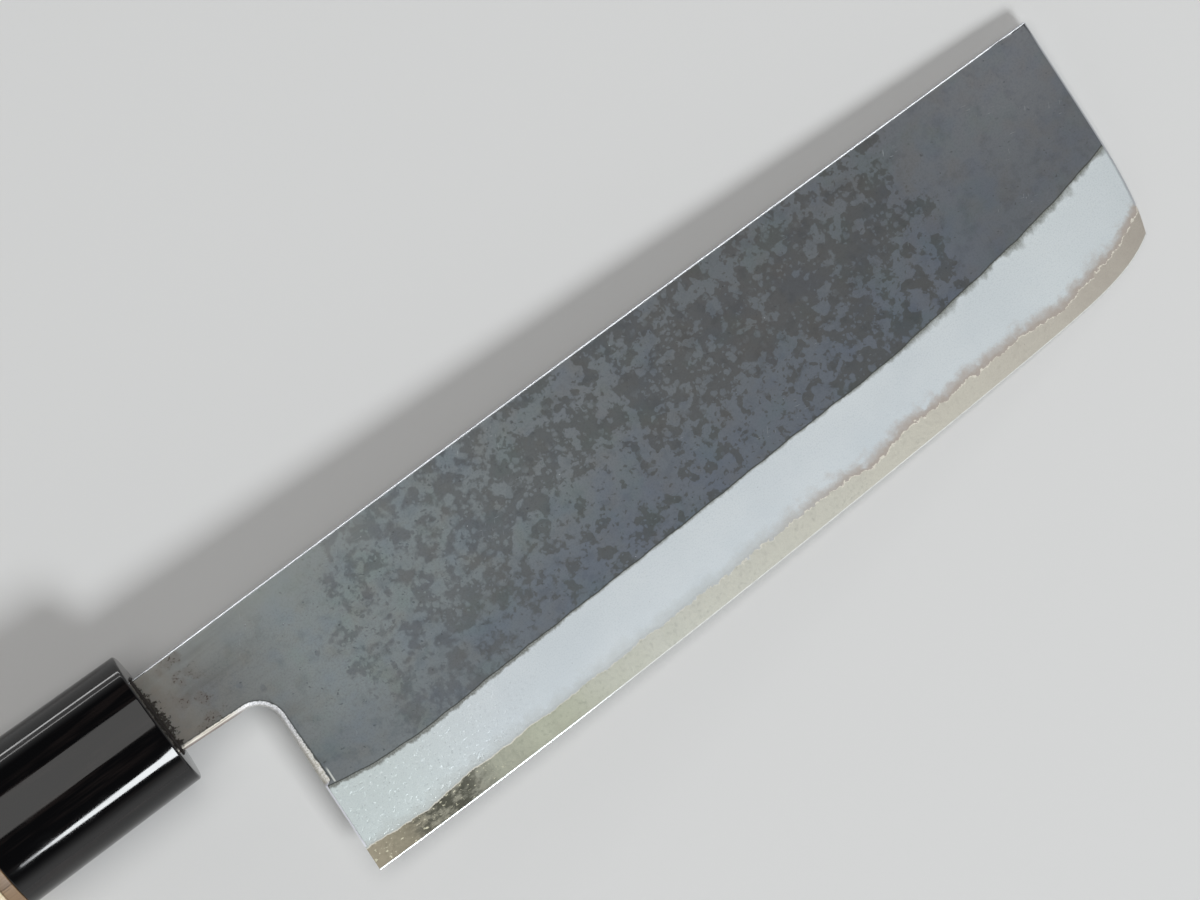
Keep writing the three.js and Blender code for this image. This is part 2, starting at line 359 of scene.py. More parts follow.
# The easing leaves part of the cladding's thickness everywhere.
def blade_half(x, y):
    above = y - ridge_y(x)
    scale_relief = forged(x, y) * smooth(above, *forged_above_ridge) * smooth(x, *forged_past_ferrule)
    whole = np.where(above >= 0, face_half(x, y), bevel_half(x, y)) + scale_relief
    cladding = np.maximum(whole - seam_half(x), 0)
    return whole - np.minimum(eased_edges(x, y)[1], ease_limit * cladding)


# The core with its land behind the edge and its narrow second bevel.
def core_surface(x, y):
    above_edge = y - edge_y(x)
    deep = edge_land * (1 - smooth(x, *edge_land_end))
    land = deep * np.clip(1 - above_edge / edge_land_reach, 0, 1) ** 2
    second_bevel = micro_bevel_slope * np.maximum(above_edge, 0)
    return np.minimum(core_half(x), np.minimum(bevel_half(x, y) + land, second_bevel))


# Plan of the blade: columns from the tang's end to the square end, rows from the spine down

end_places = np.array([0, 0.08, 0.18, 0.30, 0.48, 0.72, 1.1, 1.6])


def closer_at_ends(length, step):
    middle = np.arange(end_places[-1] + step, length - end_places[-1] - step / 2, step)
    return np.concatenate([end_places, middle, length - end_places[::-1]]) / length


blade_shares = closer_at_ends(edge_length, column_step)
upper_shares = closer_at_ends(neck_height, row_step)
notch_share = (spine_y(notch_x) - notch_y) / (spine_y(notch_x) - ridge_y(notch_x))


def notch_row_y(x):
    return lerp(spine_y(x), ridge_y(x), notch_share)


def blade_row(row_y):
    passes = 24
    x = heel_x + edge_length * blade_shares
    for _ in range(passes):
        y = row_y(x)
        x = lerp(choil_x(y), tip_end_x(y), blade_shares)
    return x, row_y(x)


def between(upper_row, lower_row, share):
    return lambda x: lerp(upper_row(x), lower_row(x), share)


# The lower outline of the tang, the neck and the round notch.
def tang_outline():
    turns = np.linspace(math.pi / 2, 0, notch_steps, endpoint=False)
    neck_x = np.linspace(0, notch_centre_x, neck_steps, endpoint=False)
    x = np.concatenate([
        [tang_end_x, tang_root_x, -neck_insert],
        neck_x,
        notch_centre_x + notch_radius * np.cos(turns),
    ])
    y = np.concatenate([
        [-tang_end_height / 2, -tang_root_height / 2, neck_y],
        neck_under_y(neck_x),
        notch_y + notch_radius * np.sin(turns),
    ])
    return x, y


# Points and four-sided cells of the plan. The upper rows run on into the neck and the tang.
def blade_plan(upper_rows, lower_rows):
    tang_x, tang_low = tang_outline()
    tang_high = np.where(tang_x < -neck_insert, -tang_low, spine_y(tang_x))
    columns_x = []
    columns_y = []
    for share in upper_rows:
        row_x, row_y = blade_row(between(spine_y, notch_row_y, share))
        columns_x.append(np.concatenate([tang_x, row_x]))
        columns_y.append(np.concatenate([lerp(tang_high, tang_low, share), row_y]))
    for row in lower_rows:
        row_x, row_y = blade_row(row)
        columns_x.append(np.concatenate([np.full(len(tang_x), np.nan), row_x]))
        columns_y.append(np.concatenate([np.full(len(tang_x), np.nan), row_y]))
    x = np.array(columns_x)
    y = np.array(columns_y)
    number = np.arange(x.size).reshape(x.shape)
    cells = np.stack([number[1:, :-1], number[1:, 1:], number[:-1, 1:], number[:-1, :-1]], axis=-1)
    cells = cells.reshape(-1, 4)
    real = ~np.isnan(x.ravel()[cells]).any(axis=1)
    used, cells = np.unique(cells[real], return_inverse=True)
    return x.ravel()[used], y.ravel()[used], cells.reshape(-1, 4)


# Meshes

def make_piece(name, points, faces, facts, material):
    mesh = bpy.data.meshes.new(name)
    mesh.from_pydata(to_row(points).tolist(), [], faces)
    own = mesh.attributes.new("own", "FLOAT_VECTOR", "POINT")
    own.data.foreach_set("vector", np.asarray(points, np.float32).ravel())
    for fact, values in facts.items():
        layer = mesh.attributes.new(fact, "FLOAT", "POINT")
        layer.data.foreach_set("value", np.asarray(values, np.float32))
    mesh.shade_smooth()
    mesh.set_sharp_from_angle(angle=sharp_angle)
    mesh.materials.append(material)
    piece = bpy.data.objects.new(name + "_visual", mesh)
    scene.collection.objects.link(piece)
    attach(piece, "root")
    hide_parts(name)


# A closed plate over the plan's cells, between two heights. Where they meet it has a sharp edge.
def plate(name, plan, top, bottom, facts, material):
    x, y, cells = plan
    count = len(x)
    joined = top - bottom < no_thickness
    below = np.where(joined, np.arange(count), np.arange(count) + count)
    faces = cells.tolist() + below[cells[:, ::-1]].tolist()
    edges = np.concatenate([cells[:, [side, (side + 1) % 4]] for side in range(4)])
    open_edge = ~np.isin(edges[:, 0] * count + edges[:, 1], edges[:, 1] * count + edges[:, 0])
    for start, end in edges[open_edge]:
        wall = [start, below[start], below[end], end]
        corners = [int(c) for i, c in enumerate(wall) if c != wall[i - 1]]
        if len(corners) > 2:
            faces.append(corners)
    points = np.concatenate([np.stack([x, y, top], 1), np.stack([x, y, bottom], 1)])
    kept = np.concatenate([np.full(count, True), ~joined])
    number = np.cumsum(kept) - 1
    faces = [[int(number[corner]) for corner in face] for face in faces]
    doubled = {fact: np.concatenate([values, values])[kept] for fact, values in facts.items()}
    make_piece(name, points[kept], faces, doubled, material)


def blade_facts(x, y):
    return {
        "above_ridge": y - ridge_y(x),
        "above_weld": y - weld_y(x),
        "above_edge": y - edge_y(x),
        "inside": eased_edges(x, y)[0],
    }


# Rings of points along the handle's axis

turns = np.linspace(0, 2 * math.pi, ring_sides, endpoint=False)


def handle_half(x):
    return (handle_height + handle_swell * (-x / handle_length)) / 2


def oval_ring(x, half, ratio=oval_ratio):
    return np.stack([np.full(ring_sides, x), half * np.cos(turns), half * ratio * np.sin(turns)], 1)


def round_ring(x, radius):
    return oval_ring(x, radius, 1.0)


# A rectangle round the neck, with the nearest point of the ring moved to each corner.
def neck_ring(x, allowance):
    half_height = neck_height / 2 + allowance
    half_thickness = spine_thickness / 2 + allowance
    reach = np.minimum(
        half_height / np.maximum(np.abs(np.cos(turns)), no_slope),
        half_thickness / np.maximum(np.abs(np.sin(turns)), no_slope),
    )
    y = reach * np.cos(turns)
    z = reach * np.sin(turns)
    for side_y in (-1, 1):
        for side_z in (-1, 1):
            nearest = np.argmin(np.hypot(y - side_y * half_height, z - side_z * half_thickness))
            y[nearest] = side_y * half_height
            z[nearest] = side_z * half_thickness
    return np.stack([np.full(ring_sides, x), neck_rise + y, z], 1)


# A quarter round at one end of a stretch of the handle, from its end face out to its side.
def end_round(end_x, inward, radius):
    rings = []
    for turn in np.linspace(0, math.pi / 2, round_steps + 1):
        half = handle_half(end_x) - radius * (1 - math.sin(turn))
        rings.append(oval_ring(end_x + inward * radius * (1 - math.cos(turn)), half))
    return rings


def side_rings(front_x, rear_x, count):
    return [oval_ring(x, handle_half(x)) for x in np.linspace(front_x, rear_x, count + 2)[1:-1]]


# A solid through the rings, closed from the last ring to the first, or with a cap at each end.
def ring_solid(name, rings, capped, material):
    points = np.concatenate(rings)
    number = np.arange(len(points)).reshape(len(rings), ring_sides)
    following = np.roll(number, -1, axis=1)
    last = len(rings) - 1 if capped else len(rings)
    faces = []
    for ring in range(last):
        beyond = (ring + 1) % len(rings)
        quads = np.stack([number[ring], number[beyond], following[beyond], following[ring]], 1)
        faces += quads.tolist()
    if capped:
        faces.append(number[0].tolist())
        faces.append(number[-1][::-1].tolist())
    make_piece(name, points, faces, {}, material)


# Materials

usual_noise = (0.3, 0.7)  # most of a noise pattern lies between these
speck_core = 0.6  # of a speck's radius, where it is solid


def seen_as(red, green, blue):
    channels = [channel / 255 for channel in (red, green, blue)]
    linear = [c / 12.92 if c <= 0.04045 else ((c + 0.055) / 1.055) ** 2.4 for c in channels]
    return (*linear, 1.0)


def put(tree, value, socket):
    if isinstance(value, bpy.types.NodeSocket):
        tree.links.new(value, socket)
    else:
        socket.default_value = value


def add_node(tree, kind, inputs, **settings):
    made = tree.nodes.new(kind)
    for key, value in settings.items():
        setattr(made, key, value)
    for key, value in inputs.items():
        put(tree, value, made.inputs[key])
    return made


# A material with short ways to add nodes. Lengths in its patterns are millimetres.
class Finish:
    def __init__(self, name, own_frame=True):
        self.material = bpy.data.materials.new(name)
        self.material.use_nodes = True
        self.tree = self.material.node_tree
        self.shader = self.tree.nodes["Principled BSDF"]
        self.place = self.own_place() if own_frame else self.row_place()
        apart = self.add("ShaderNodeSeparateXYZ", {"Vector": self.place}).outputs
        self.along = apart["X"]
        self.height = apart["Y"]
        self.depth = apart["Z"]

    def own_place(self):
        return self.add("ShaderNodeAttribute", {}, attribute_name="own").outputs["Vector"]

    def row_place(self):
        inputs = {0: self.add("ShaderNodeTexCoord", {}).outputs["Object"], "Scale": 1 / millimetre}
        return self.add("ShaderNodeVectorMath", inputs, operation="SCALE").outputs[0]

    def add(self, kind, inputs, **settings):
        return add_node(self.tree, kind, inputs, **settings)

    def surface(self, **sockets):
        for key, value in sockets.items():
            put(self.tree, value, self.shader.inputs[key.replace("_", " ")])

    def fact(self, name):
        return self.add("ShaderNodeAttribute", {}, attribute_name=name).outputs["Fac"]

    def math(self, operation, first, second=0.0):
        return self.add("ShaderNodeMath", {0: first, 1: second}, operation=operation).outputs[0]

    def times(self, first, *others):
        for other in others:
            first = self.math("MULTIPLY", first, other)
        return first

    def plus(self, first, *others):
        for other in others:
            first = self.math("ADD", first, other)
        return first

    def minus(self, first, second):
        return self.math("SUBTRACT", first, second)

    def rest(self, share):
        return self.minus(1.0, share)

    def larger(self, first, second):
        return self.math("MAXIMUM", first, second)

    def step(self, value, low, high):
        inputs = {"Value": value, "From Min": low, "From Max": high}
        return self.add("ShaderNodeMapRange", inputs, interpolation_type="SMOOTHSTEP").outputs["Result"]

    def scaled(self, value, low, high, to_low, to_high):
        inputs = {"Value": value, "From Min": low, "From Max": high, "To Min": to_low, "To Max": to_high}
        return self.add("ShaderNodeMapRange", inputs).outputs["Result"]

    def spread(self, noise, to_low, to_high):
        return self.scaled(noise, *usual_noise, to_low, to_high)

    # A line where the value is near zero, solid within the inner distance and gone at the outer one.
    def line(self, value, outer, inner):
        return self.step(self.math("ABSOLUTE", value), outer, inner)

    def mix(self, share, first, second):
        made = self.add("ShaderNodeMix", {0: share, 6: first, 7: second}, data_type="RGBA")
        return made.outputs[2]

    # A shade laid over a colour, as strongly as its shares multiplied.
    def paint(self, colour, shade, *shares):
        return self.mix(self.times(*shares), colour, seen_as(*shade))

    def tint(self, share, colour, by):
        inputs = {0: share, 6: colour, 7: (*by, 1.0)}
        made = self.add("ShaderNodeMix", inputs, data_type="RGBA", blend_type="MULTIPLY")
        return made.outputs[2]

    def blend(self, share, first, second):
        made = self.add("ShaderNodeMix", {0: share, 2: first, 3: second}, data_type="FLOAT")
        return made.outputs[0]

    def turned(self, angle):
        inputs = {"Vector": self.place, "Angle": math.radians(angle)}
        return self.add("ShaderNodeVectorRotate", inputs, rotation_type="Z_AXIS").outputs["Vector"]

    def moved(self, place, shift, stretch=(1, 1, 1)):
        inputs = {0: place or self.place, 1: stretch, 2: (shift, shift, shift)}
        return self.add("ShaderNodeVectorMath", inputs, operation="MULTIPLY_ADD").outputs[0]

    def noise(
        self, size, detail=2.0, roughness=0.5, distortion=0.0, stretch=(1, 1, 1), shift=0.0, place=None
    ):
        inputs = {
            "Vector": self.moved(place, shift, stretch),
            "Scale": 1 / size,
            "Detail": detail,
            "Roughness": roughness,
            "Distortion": distortion,
        }
        return self.add("ShaderNodeTexNoise", inputs).outputs["Fac"]

    # Round specks, of every size up to the radius, because the surface cuts them at any height.
    def specks(self, spacing, radius, shift=0.0, place=None):
        inputs = {"Vector": self.moved(place, shift), "Scale": 1 / spacing}
        cells = self.add("ShaderNodeTexVoronoi", inputs)
        near = self.times(cells.outputs["Distance"], spacing)
        return self.step(near, radius, radius * speck_core)

    # The place moved about by a noise, so that specks drawn there are out of round.
    def warped(self, size, reach):
        swirl = self.add("ShaderNodeTexNoise", {"Vector": self.place, "Scale": 1 / size, "Detail": 2.0})
        inputs = {0: swirl.outputs["Color"], 1: (reach, reach, reach), 2: self.place}
        return self.add("ShaderNodeVectorMath", inputs, operation="MULTIPLY_ADD").outputs[0]

    def ramp(self, value, stops):
        made = self.add("ShaderNodeValToRGB", {"Fac": value})
        places = made.color_ramp.elements
        while len(places) < len(stops):
            places.new(0.5)
        for element, (position, shade) in zip(places, stops):
            element.position = position
            element.color = seen_as(*shade)
        return made.outputs["Color"]

    def bump(self, height, depth):
        inputs = {"Height": height, "Distance": depth * millimetre, "Strength": 1.0}
        self.surface(Normal=self.add("ShaderNodeBump", inputs).outputs["Normal"])


# Where the scale's patches give way to plain scale: at the heel and at the tip.
def plain_scale(n, drift):
    by_heel = n.plus(n.along, n.spread(drift, -9, 9))
    by_tip = n.plus(n.along, n.spread(drift, -4, 4))
    return n.larger(n.step(by_heel, 42, 26), n.step(by_tip, 150, 156))


# How much of the face the light islands take: more in a belt near the ridge, less in the tip half.
def island_cover(n, above_ridge, drift, plain):
    belt = n.blend(n.step(above_ridge, 18, 9), -0.05, 0.09)
    by_spine = n.times(n.step(above_ridge, 21, 29), 0.06)
    past_heel = n.step(n.along, 45, 85)
    tip_half = n.step(n.along, 104, 122)
    fewer = n.blend(n.step(above_ridge, 4, 11), -0.07, -0.03)
    patches = n.noise(9, 1.0, shift=141)
    return n.plus(
        n.times(n.plus(belt, by_spine), past_heel),
        n.times(tip_half, fewer),
        n.spread(drift, -0.06, 0.06),
        n.spread(patches, -0.08, 0.08),
        n.times(plain, 0.45),
    )


# Light islands of the scale, lacy and softer at the heel, with round drops between them and dark spots
# left out of them.
def scale_islands(n, cover, plain):
    lace = n.spread(n.noise(0.9, shift=29), -0.06, 0.06)
    soft = n.blend(n.step(n.along, 80, 45), 0.035, 0.075)
    field = n.plus(n.noise(2.5, 1.5, 0.5, 0.25), lace, cover, -0.505)
    large = n.step(field, n.times(soft, -1.0), soft)
    crowded = n.step(n.noise(5, 1.0, shift=83), 0.36, 0.54)
    uneven = n.warped(0.8, 0.9)
    drops = n.larger(n.specks(1.0, 0.34, 31.0, uneven), n.specks(2.1, 0.75, 37.0, uneven))
    drops = n.times(drops, crowded, 0.85)
    spots = n.step(n.noise(0.9, 1.5, 0.5, 0.3, shift=53), 0.60, 0.68)
    spots = n.times(spots, n.blend(plain, 0.9, 0.0))
    short_of_tip = n.step(n.along, 166, 156)
    few = n.times(n.specks(5.2, 0.7, 113.0, uneven), plain, short_of_tip, 0.9)
    return n.times(n.larger(large, drops), n.rest(n.larger(spots, few)))


# Slow drifts of the scale's hue, to blue, brown and green, and soft smudges.
def cloudy(n, face):
    clouds = [
        (6.5, 101, 0.46, 0.66, (0.91, 0.94, 1.00)),
        (5.0, 103, 0.48, 0.68, (1.00, 0.96, 0.92)),
        (7.5, 105, 0.48, 0.68, (0.94, 1.00, 0.97)),
        (2.6, 107, 0.50, 0.72, (0.84, 0.85, 0.86)),
    ]
    for size, shift, low, high, by in clouds:
        face = n.tint(n.times(n.step(n.noise(size, 3.0, 0.55, shift=shift), low, high), 0.85), face, by)
    return face


# Pits painted with a highlight on one side and shade on the other, dark dashes, and a few scratches that
# cross each other.
def wear_with_painted_pit_light(n, face):
    # Painted shade on one side of each pit, then a painted highlight on the other.
    face = n.paint(face, (52, 54, 56), n.specks(4.1, 0.15, 59.10), 0.7)
    face = n.paint(face, (186, 190, 194), n.specks(4.1, 0.11, 59.0), 0.7)
    dashes = n.noise(0.7, stretch=(0.7, 1, 1), shift=127, place=n.turned(30))
    face = n.paint(face, (64, 67, 70), n.step(dashes, 0.69, 0.75), 0.55)
    rare = n.step(n.noise(7.0, shift=121), 0.60, 0.70)
    for angle, shift in ((12, 123), (-58, 125)):
        fine = n.noise(0.15, 1.0, stretch=(0.09, 1, 1), shift=shift, place=n.turned(angle))
        face = n.paint(face, (176, 182, 186), n.step(fine, 0.70, 0.76), rare, 0.45)
    return face


# Forge scale: islands on a darker ground, lighter at the heel and bluer towards the ridge.
def scale_colour(n, above_ridge, islands):
    share = n.scaled(n.along, 0, spine_tip_x, 0, 1)
    light = n.ramp(share, [
        (0.06, (114, 116, 115)),
        (0.14, (130, 137, 138)),
        (0.28, (123, 131, 133)),
        (0.46, (112, 117, 121)),
        (0.64, (103, 108, 112)),
        (0.82, (102, 106, 111)),
        (0.95, (112, 115, 119)),
    ])
    dark = n.ramp(share, [
        (0.14, (110, 114, 116)),
        (0.28, (105, 109, 111)),
        (0.46, (92, 95, 96)),
        (0.64, (89, 90, 91)),
        (0.82, (85, 87, 88)),
        (0.95, (86, 89, 92)),
    ])
    by_ridge = n.times(n.step(above_ridge, 19, 4), n.step(n.along, 30, 60))
    bluish = n.times(by_ridge, n.step(n.along, 172, 150))
    light = n.paint(light, (99, 106, 117), bluish, 0.65)
    dark = n.paint(dark, (81, 85, 88), by_ridge, 0.5)
    face = n.mix(islands, dark, light)
    at_tip = n.times(n.step(n.along, 146, 162), n.step(above_ridge, 22, 4))
    face = n.paint(face, (98, 102, 107), at_tip, 0.7)
    at_heel = n.times(n.step(n.along, 62, 30), n.step(above_ridge, 15, 2))
    face = n.paint(face, (103, 109, 115), at_heel, 0.45)
    fine = n.step(n.noise(0.32, 3.0, 0.7, shift=97), 0.42, 0.72)
    face = n.paint(face, (66, 67, 67), fine, 0.22)
    return wear_with_painted_pit_light(n, cloudy(n, face))


# The ragged dark stain where the neck leaves the ferrule, thickest below the middle.
def neck_stain(n):
    ragged = n.noise(0.75, 4.0, 0.75, stretch=(0.75, 1, 1), shift=5)
    thick = n.times(n.step(n.height, 7, 0), n.blend(n.step(n.height, -5.5, -3), 0.6, 1))
    reach = n.times(n.scaled(ragged, 0.36, 0.74, 0.1, 3.0), n.blend(thick, 0.3, 1))
    worn_through = n.scaled(n.noise(0.4, 3.0, 0.6, shift=7), 0.35, 0.65, 0.8, 1.0)
    return n.times(n.step(n.minus(n.along, reach), 0.2, -0.2), worn_through)


# Neck: warmer towards the ferrule, with faint streaks and a few clusters of rust specks.
def neck_colour(n, face, stain):
    by_spine = n.times(n.step(n.height, 0.0, 7.0), n.step(n.along, 62, 22), n.step(n.along, 1, 5))
    face = n.paint(face, (137, 141, 139), by_spine, 0.65)
    streaks = n.noise(2.2, 3.0, 0.6, stretch=(0.08, 1, 1), shift=11)
    at_neck = n.step(n.along, 30, 6)
    face = n.paint(face, (84, 84, 82), n.step(streaks, 0.4, 0.75), at_neck, 0.4)
    patchy = n.spread(n.noise(2.6, 3.0, 0.6, shift=15), 0.45, 0.95)
    face = n.paint(face, (112, 107, 100), n.step(n.along, 11, 0.5), patchy)
    by_ferrule = n.times(n.step(n.along, 11, 8.5), n.step(n.along, 3, 5.5))
    cluster = n.times(n.step(n.noise(3.2, shift=17), 0.46, 0.58), by_ferrule)
    face = n.paint(face, (92, 80, 70), cluster, 0.3)
    rust = n.times(n.step(n.noise(0.42, 2.0, 0.6, shift=77), 0.58, 0.66), cluster)
    face = n.paint(face, (58, 45, 36), rust, 0.85)
    return n.paint(face, (26, 20, 16), stain)


# How far a point is above the weld, which is ragged in the tip half.
def ragged_weld(n):
    rag = n.scaled(n.noise(1.0, 3.0, 0.65, shift=41), 0.25, 0.75, -0.5, 0.5)
    return n.plus(n.fact("above_weld"), n.times(rag, n.blend(n.step(n.along, 52, 96), 0.3, 1.0)))


# The thin line of the weld: whole at the heel, fainter in the middle, dotted in the tip half.
def weld_line(n, at_weld):
    at_heel = n.step(n.along, 62, 46)
    line = n.line(at_weld, 0.13, 0.05)
    broken = n.step(n.noise(0.7, shift=47), 0.38, 0.50)
    broken = n.larger(broken, at_heel)
    strength = n.larger(n.times(at_heel, 0.75), n.blend(n.step(n.along, 80, 112), 0.5, 0.95))
    return n.times(line, broken, strength)


# Pits of the bevel in clusters at the heel, each painted with shade on one side and a highlight on the
# other.
def bevel_pits_with_painted_light(n, colour):
    at_heel = n.step(n.along, 64, 36)
    clustered = n.scaled(n.noise(5.0, shift=133), 0.35, 0.65, 0.3, 1.0)
    # Each pit's painted shade, then its painted highlight, a little apart.
    for shift, shade, share in ((131.17, (134, 141, 144), 0.35), (131.0, (226, 232, 233), 0.45)):
        pits = n.step(n.noise(0.42, 1.5, stretch=(0.7, 1, 1), shift=shift), 0.62, 0.70)
        colour = n.paint(colour, shade, pits, at_heel, clustered, share)
    return colour


# A darker haze in wisps above the weld line, browner and stronger in the tip half.
def weld_haze(n, colour, at_weld):
    tip_half = n.step(n.along, 84, 122)
    wisps = n.spread(n.noise(2.4, 3.0, 0.6, shift=23), 0.5, 1.5)
    darker_haze = n.step(n.math("DIVIDE", at_weld, wisps), 2.7, 0.0)
    shade = n.mix(tip_half, seen_as(176, 178, 174), seen_as(170, 157, 146))
    return n.mix(n.times(darker_haze, n.blend(tip_half, 0.45, 0.85)), colour, shade)


# Ground iron of the bevel: an even fine haze with grain and pits, and a darker haze above the weld line.
def bevel_colour(n, at_weld, grain):
    cloud = n.noise(14, shift=3)
    colour = n.mix(n.step(cloud, *usual_noise), seen_as(203, 210, 214), seen_as(210, 216, 219))
    colour = n.paint(colour, (204, 213, 211), n.step(n.along, 48, 22), 0.8)
    colour = n.paint(colour, (216, 223, 224), n.step(n.along, 130, 165), 0.35)
    colour = n.paint(colour, (172, 181, 187), n.step(grain, 0.42, 0.75), 0.33)
    colour = n.paint(colour, (120, 122, 122), n.specks(2.6, 0.09, 3.0), 0.7)
    return weld_haze(n, bevel_pits_with_painted_light(n, colour), at_weld)


# Steel of the core with a painted warm reflection, darker at the heel with a painted dark reflection in a
# cloudy patch, painted glints there, and pits all along.
def core_colour(n, fine):
    share = n.scaled(n.along, heel_x, tip_x, 0, 1)
    drift = n.spread(n.noise(7, stretch=(1, 0.3, 1)), -0.03, 0.03)
    # Painted reflection: a warm tan along the core, darker and more olive at the heel.
    colour = n.ramp(n.plus(share, drift), [
        (0.00, (172, 163, 143)),
        (0.05, (159, 152, 133)),
        (0.12, (160, 160, 147)),
        (0.22, (186, 189, 171)),
        (0.37, (206, 207, 197)),
        (0.72, (210, 207, 195)),
        (0.86, (203, 198, 187)),
        (0.97, (188, 181, 171)),
    ])
    colour = n.paint(colour, (140, 133, 120), n.step(fine, 0.45, 0.75), 0.22)
    colour = n.paint(colour, (80, 74, 66), n.specks(3.1, 0.08, 9.0), 0.7)
    near_heel = n.times(n.step(n.along, 20, 26), n.step(n.along, 41, 33))
    # A painted dark reflection in a cloudy patch near the heel.
    dark_reflection_patch = n.step(n.noise(1.5, 5.0, 0.7, stretch=(0.6, 1, 1), shift=25), 0.38, 0.56)
    colour = n.paint(colour, (82, 82, 73), near_heel, dark_reflection_patch, 0.9)
    # Painted glints near the heel.
    glints = n.step(n.noise(0.42, stretch=(0.6, 1, 1), shift=29), 0.64, 0.70)
    return n.paint(colour, (232, 228, 202), glints, n.step(n.along, 46, 36), 0.85)


def ground_grain(n):
    return n.noise(0.22, 2.0, 0.6)


# Bevel above the ragged weld, core below it and the weld's line between them, for both metals.
def ground_colour(n, grain):
    fine = n.noise(0.5, 3.0, 0.6)
    at_weld = ragged_weld(n)
    on_core = n.step(at_weld, 0.04, -0.04)
    colour = n.mix(on_core, bevel_colour(n, at_weld, grain), core_colour(n, fine))
    rough = n.blend(on_core, n.spread(grain, 0.40, 0.52), n.spread(fine, 0.36, 0.46))
    return n.paint(colour, (232, 228, 216), weld_line(n, at_weld)), rough


# Bare steel on the eased edges: grey-white along the spine and the end. On the low edges it is frosty at
# the notch, granular cream down the choil, pale below the ridge, and brown with lines under the neck,
# with painted shade along their outer margins.
def bare_colour(n, inside, under):
    granular = n.step(n.noise(0.30, 2.0, 0.6, shift=91), 0.35, 0.65)
    cream = n.mix(granular, seen_as(206, 202, 190), seen_as(247, 245, 240))
    frosty = n.mix(granular, seen_as(206, 207, 210), seen_as(250, 250, 252))
    low = n.mix(n.step(n.height, ridge_end_y + 4, notch_y - 2), cream, frosty)
    # Painted shade along the outer margin of the low edges, where the ease rolls away.
    low = n.paint(low, (134, 131, 121), n.step(inside, 0.50, 0.15), 0.6)
    lines = n.step(n.noise(0.22, stretch=(0.05, 1, 1), shift=93), 0.35, 0.65)
    brown = n.mix(lines, seen_as(224, 219, 206), seen_as(166, 158, 148))
    # Painted shadow along the outer margin under the neck, purplish brown.
    brown = n.paint(brown, (112, 98, 96), n.step(inside, 0.50, 0.25), 0.8)
    low = n.mix(n.step(n.along, notch_centre_x + 2, notch_centre_x - 3), low, brown)
    low = n.paint(low, (230, 231, 238), n.step(n.height, ridge_end_y + 0.3, ridge_end_y - 0.3))
    high = n.mix(n.step(n.along, 14, 2), seen_as(174, 177, 181), seen_as(136, 138, 140))
    return n.mix(under, high, low)


# The slightly ragged change at the ridge: how far a point is above it.
def ragged_ridge(n, above_ridge):
    rag = n.scaled(n.noise(0.55, 3.0, 0.7, shift=61), 0.25, 0.75, -0.05, 0.05)
    return n.plus(above_ridge, rag)


# The olive fringe below the ridge: feathered, wider and sharper at the heel, and smudged down the bevel
# near the tip, under a thin dark line along the ridge itself.
def ridge_fringe(n, colour, at_ridge, grain):
    below = n.times(at_ridge, -1.0)
    at_heel = n.step(n.along, 76, 50)
    feathers = n.spread(n.noise(1.4, 3.0, 0.6, stretch=(1, 0.5, 1), shift=67), 0.35, 0.85)
    smudged = n.times(n.step(n.noise(4.0, shift=69), 0.36, 0.60), n.step(n.along, 118, 158))
    width = n.times(n.blend(at_heel, feathers, n.times(feathers, 1.5)), n.blend(smudged, 1.0, 3.4))
    sharp = n.blend(at_heel, 0.0, 0.5)
    band = n.times(n.step(n.math("DIVIDE", below, width), 1.0, sharp), n.step(below, -0.02, 0.06))
    band = n.times(band, n.scaled(grain, 0.35, 0.65, 0.75, 1.0))
    olive = n.mix(at_heel, seen_as(112, 114, 106), seen_as(120, 122, 117))
    line = n.line(n.plus(at_ridge, 0.04), 0.15, 0.05)
    return n.paint(n.mix(band, colour, olive), (56, 57, 54), line, 0.85), band


# Bare steel on the eased edges, ragged on the low ones and hidden by the stain at the neck.
def bare_edges(n, inside, under, stain):
    rag = n.spread(n.noise(0.5, shift=71), -0.12, 0.12)
    bare = n.step(n.plus(inside, n.times(rag, under)), 1.05, 0.9)
    return n.times(bare, n.rest(stain))


# A painted shadow line beside the low edges, and a painted highlight streak beside the choil just above
# the ridge.
def choil_painted_shadow_and_highlight(n, colour, above_ridge, inside, under):
    # A painted shadow line just inside the ease of the low edges.
    rim_shadow = n.times(n.line(n.plus(inside, -1.1), 0.16, 0.06), n.step(above_ridge, 0, 0.4))
    colour = n.paint(colour, (62, 62, 58), rim_shadow, under, 0.6)
    # A painted highlight streak beside the choil, just above the ridge.
    from_choil = n.minus(n.along, n.scaled(n.height, heel_y, notch_y, heel_x, notch_x))
    choil_highlight = n.line(n.plus(from_choil, -1.8), 0.20, 0.08)
    choil_highlight = n.times(choil_highlight, n.step(above_ridge, 3.2, 2.2), n.step(above_ridge, 0, 0.3))
    return n.paint(colour, (214, 217, 212), choil_highlight, 0.8)


# Raised islands and grit on the scale, grain and dimples on the bevel.
def iron_relief(n, islands, on_bevel, grain):
    scale = n.plus(n.times(islands, 0.35), n.times(n.noise(0.6, 4.0, 0.65, shift=2), 0.5))
    pitted = n.noise(0.6, 2.0, 0.5, 0.3, stretch=(0.8, 1, 1), shift=7)
    dimples = n.times(n.step(pitted, 0.58, 0.72), n.step(n.along, 64, 34), 0.65)
    return n.blend(on_bevel, scale, n.minus(n.times(grain, 0.35), dimples))


